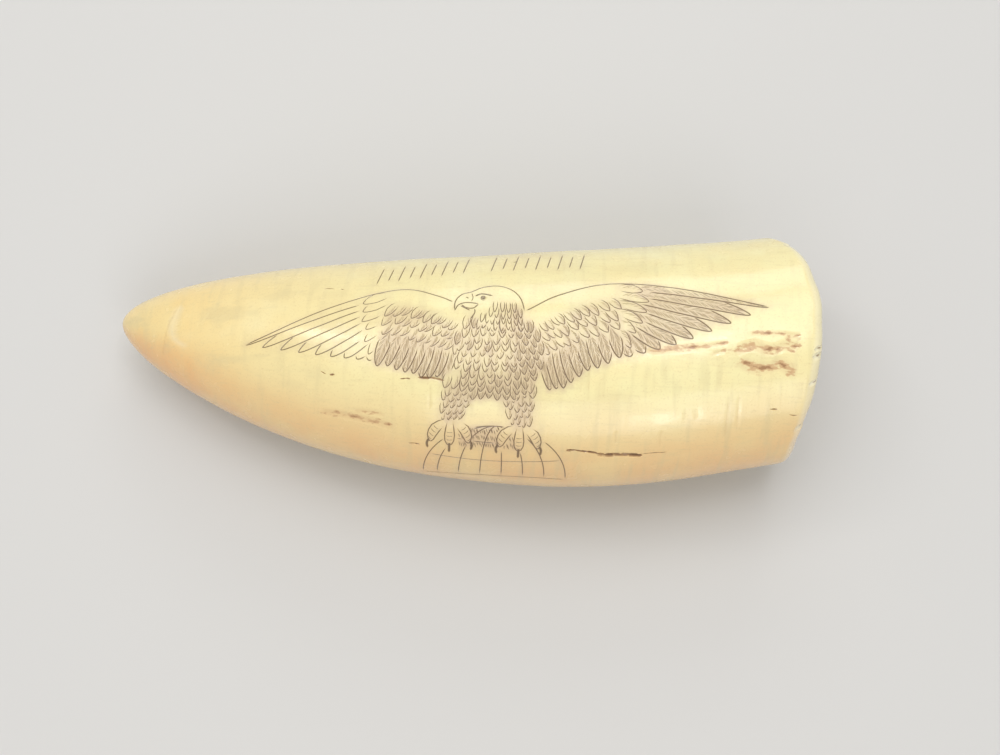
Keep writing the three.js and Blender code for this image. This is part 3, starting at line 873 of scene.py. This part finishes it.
class Wire:
    # what comes out of a shader node: sums and products of wires add the nodes that work them out
    def __init__(self, socket):
        self.socket = socket
        self.tree = socket.id_data

    def node(self, kind, settings=None, output=0, **inputs):
        node = self.tree.nodes.new("ShaderNode" + kind)
        for name, value in (settings or {}).items():
            if name == "stops":
                ramp = node.color_ramp
                while len(ramp.elements) < len(value):
                    ramp.elements.new(1)
                for element, (position, colour) in zip(ramp.elements, value):
                    element.position = position
                    element.color = (*colour, 1)
            else:
                setattr(node, name, value)
        for name, value in inputs.items():
            socket = node.inputs[int(name[1:]) if name[0] == "_" else name.replace("_", " ")]
            if isinstance(value, Wire):
                self.tree.links.new(value.socket, socket)
            else:
                socket.default_value = value
        return Wire(node.outputs[output])

    def maths(self, operation, one, two):
        return self.node("Math", {"operation": operation}, _0=one, _1=two)

    def __add__(self, other):
        return self.maths("ADD", self, other)

    def __sub__(self, other):
        return self.maths("SUBTRACT", self, other)

    def __rsub__(self, other):
        return self.maths("SUBTRACT", other, self)

    def __mul__(self, other):
        return self.maths("MULTIPLY", self, other)

    __radd__ = __add__
    __rmul__ = __mul__

    def blend(self, colour, share):
        return self.node("Mix", {"data_type": "RGBA"}, output=2, _0=share, _6=self, _7=(*colour, 1))

    def rise(self, low, high):
        smooth = {"interpolation_type": "SMOOTHSTEP"}
        return self.node("MapRange", smooth, Value=self, From_Min=low, From_Max=high)

    def grain(self, scale, detail, stretch=(1, 1, 1)):
        stretched = self.node("Mapping", Vector=self, Scale=stretch)
        return self.node("TexNoise", Vector=stretched, Scale=scale, Detail=detail)

    def mark(self, name):
        return self.node("Attribute", {"attribute_name": name}, output=2)


ivory = bpy.data.materials.new("ivory")
ivory.use_nodes = True
shader = ivory.node_tree.nodes["Principled BSDF"]
shader.inputs["Coat Weight"].default_value = 0.5
shader.inputs["Coat Roughness"].default_value = 0.12
place = Wire(ivory.node_tree.nodes.new("ShaderNodeTexCoord").outputs["Object"])
along = place.node("SeparateXYZ", Vector=place)
near = place.mark("near")
walk = place.mark("walk")
hollow = walk.rise(2.5, 3.1)
rim = walk.rise(0.995, 1.3) - hollow
stain = place.mark("stain")
cloud = place.grain(60.0, 3.0)
mottle = place.grain(260.0, 2.0)
bands = place.grain(560.0, 2.0, (1, 0.16, 0.16))
fibre = place.grain(1500.0, 2.0, (0.1, 1, 1))
smudge = place.grain(190.0, 4.0, (0.35, 1, 1))
pores = place.grain(2600.0, 1.0)
wavy = walk + 0.2 * (mottle - 0.5)
layers = place.node("TexNoise", {"noise_dimensions": "1D"}, W=wavy, Scale=11.0, Detail=3.0)
flecks = place.grain(1100.0, 5.0, (0.45, 1, 1))
crack = place.mark("crack") * (0.3 + 1.4 * flecks)
old = near.rise(-0.1, 0.5) * along.rise(-0.02, 0.03)
tipward = (0 - along).rise(0.02, 0.055)
upper = (1 - near).rise(0.1, 0.6)

lengthwise = (along + 0.07) * (1 / 0.14) + 0.2 * (cloud - 0.5)
colour = place.node("ValToRGB", {"stops": LENGTHWISE}, Fac=lengthwise)
# Towards the near, lower flank the ivory turns tan: partly age and handling, partly painted shade and warm
# bounce light.
colour = colour.blend(TAN_AND_PAINTED_SHADE, (near + 0.4 * (cloud - 0.5)).rise(0.35, 1.05) * 0.85)
# The tip's lower side is painted more tan still: partly age, partly painted shade and warm bounce light.
colour = colour.blend(TAN_AND_PAINTED_SHADE, near.rise(0.1, 0.8) * (0 - along).rise(0.035, 0.06) * 0.75)
colour = colour.blend(HONEY, cloud.rise(0.42, 0.7) * 0.5)
# Pale blotches over the crown and far flank: partly random pale tone, partly a painted sheen.
colour = colour.blend(PEARL_SHEEN, (1 - cloud).rise(0.5, 0.7) * (1 - near).rise(0.4, 1) * 0.5)
colour = colour.blend(HONEY, mottle.rise(0.3, 0.8) * (0.15 + 0.22 * upper))
colour = colour.blend(OLIVE, smudge.rise(0.5, 0.66) * (0.18 + 0.2 * tipward) * upper)
colour = colour.blend(OLIVE, bands.rise(0.5, 0.72) * (0.2 + 0.1 * old))
colour = colour.blend(UMBER, pores.rise(0.55, 0.75) * 0.22)
colour = colour.blend(OLIVE, fibre.rise(0.52, 0.75) * 0.18)
# The rounded rim is painted paler: partly paler sawn ivory, partly a painted highlight along its edge.
colour = colour.blend(FRESH_AND_HIGHLIGHT, rim * 0.35)
colour = colour.blend(UMBER, layers.rise(0.5, 0.65) * (walk.rise(1.4, 1.9) - hollow) * 0.35)
colour = colour.blend(UMBER, (wavy.rise(1.98, 2.06) - wavy.rise(2.08, 2.16)) * 0.6)
# Fresh ivory in the nicks, and the worn crescent at the tip painted paler, partly painted light on its lit
# side.
colour = colour.blend(FRESH_AND_HIGHLIGHT, place.mark("fresh") * 0.9)
colour = colour.blend(UMBER, hollow * (0.45 + 0.5 * mottle))
colour = colour.blend(BROWN, hollow * (0.25 * layers.rise(0.45, 0.65) + 0.35 * walk.rise(3.1, 3.9)))
colour = colour.blend(FILM, place.mark("film") * 0.58)
colour = colour.blend(RUST, stain.rise(0, 0.6) * 0.25)
colour = colour.blend(RUST, (flecks + 0.3 * stain).rise(0.64, 0.76) * stain.rise(0, 0.25) * 0.9)
colour = colour.blend(BROWN, (flecks + 0.3 * stain).rise(0.78, 0.88) * stain.rise(0, 0.25) * 0.9)
# Cracks and the darker lines in the nicks go brown and black; the crescent's shaded edge, in the same
# layer, is painted shade.
colour = colour.blend(BROWN, crack.rise(0, 0.5) * 0.8)
colour = colour.blend(SOOT, crack.rise(0.4, 0.9) * 0.9)
colour = colour.blend(INK, place.mark("ink").rise(0.0, 0.6) * 0.82)
roughness = 0.16 + 0.18 * mottle + 0.35 * hollow + 0.3 * stain
bump = place.node("Bump", Strength=0.5, Distance=0.00012, Height=bands * (0.3 + old) + 0.2 * fibre)
for wire, name in ((colour, "Base Color"), (roughness, "Roughness"), (bump, "Normal")):
    ivory.node_tree.links.new(wire.socket, shader.inputs[name])
mesh.materials.append(ivory)

# The floor is a plain pale sheet that the tooth lies on, dull and evenly lit. It belongs to the studio and
# not to the tooth.
FLOOR_HALF = 1.5
FLOOR_ROUGHNESS = 0.8
PALE = (0.6, 0.59, 0.57, 1)
ground = bmesh.new()
bmesh.ops.create_grid(ground, x_segments=1, y_segments=1, size=FLOOR_HALF)
floor_mesh = bpy.data.meshes.new("floor")
ground.to_mesh(floor_mesh)
ground.free()
floor = bpy.data.objects.new("floor", floor_mesh)
bpy.context.collection.objects.link(floor)
paper = bpy.data.materials.new("pale_floor")
paper.use_nodes = True
paper.node_tree.nodes["Principled BSDF"].inputs["Base Color"].default_value = PALE
paper.node_tree.nodes["Principled BSDF"].inputs["Roughness"].default_value = FLOOR_ROUGHNESS
floor_mesh.materials.append(paper)

# The light is soft: big lamps over the tooth and in front of it, smaller ones behind it and by the tip,
# and two narrow ones whose glints show the polish. Each has its place, how far along the tooth it is
# aimed, its breadth and depth in metres, and its power in watts.
LAMPS = (
    ("top_lamp", (-0.1, 0.2, 0.8), 0, 0.9, 0.6, 3.5),
    ("back_lamp", (0.035, 0.58, 0.385), 0, 0.36, 0.26, 0.62),
    ("left_lamp", (-0.43, 0.21, 0.63), 0, 0.08, 0.18, 0.22),
    ("front_lamp", (0.1, -0.5, 0.5), 0, 0.6, 0.4, 1.1),
    ("spark_lamp", (0.202, -0.451, 0.412), 0, 0.035, 0.12, 0.1),
    ("glow_lamp", (0.134, 0.089, 0.623), 0.134, 0.03, 0.14, 0.12),
)
DAYLIGHT = 0.55
for name, spot, aim, breadth, depth, power in LAMPS:
    lamp = bpy.data.lights.new(name, "AREA")
    lamp.shape = "RECTANGLE"
    lamp.size = breadth
    lamp.size_y = depth
    lamp.energy = power
    light = bpy.data.objects.new(name, lamp)
    light.location = spot
    light.rotation_euler = (Vector((aim, 0, 0)) - Vector(spot)).to_track_quat("-Z", "Y").to_euler()
    bpy.context.collection.objects.link(light)
world = bpy.data.worlds.new("studio")
bpy.context.scene.world = world
world.use_nodes = True
world.node_tree.nodes["Background"].inputs["Color"].default_value = (1, 1, 1, 1)
world.node_tree.nodes["Background"].inputs["Strength"].default_value = DAYLIGHT
bpy.context.scene.view_settings.view_transform = "Standard"

# The camera looks down on the tooth as in the photograph, at the tilt that the picture is laid out for,
# and is turned a little round its line of sight.
AIM = Vector((8.776, -4.65, 17.0)) * mm
REACH = 301 * mm
ROLL = math.radians(3.13)
LENS = 54
CLIP_START = 0.01
forward = Vector((0, math.sin(SIGHT_TILT), -math.cos(SIGHT_TILT)))
upward = Vector((0, math.cos(SIGHT_TILT), math.sin(SIGHT_TILT)))
sideways = Vector((1, 0, 0))
right = math.cos(ROLL) * sideways + math.sin(ROLL) * upward
up = math.cos(ROLL) * upward - math.sin(ROLL) * sideways
camera_data = bpy.data.cameras.new("camera")
camera_data.lens = LENS
camera_data.clip_start = CLIP_START
camera = bpy.data.objects.new("camera", camera_data)
turned = Matrix((right, up, -forward)).transposed().to_4x4()
camera.matrix_world = Matrix.Translation(AIM - forward * REACH) @ turned
bpy.context.collection.objects.link(camera)
bpy.context.scene.camera = camera
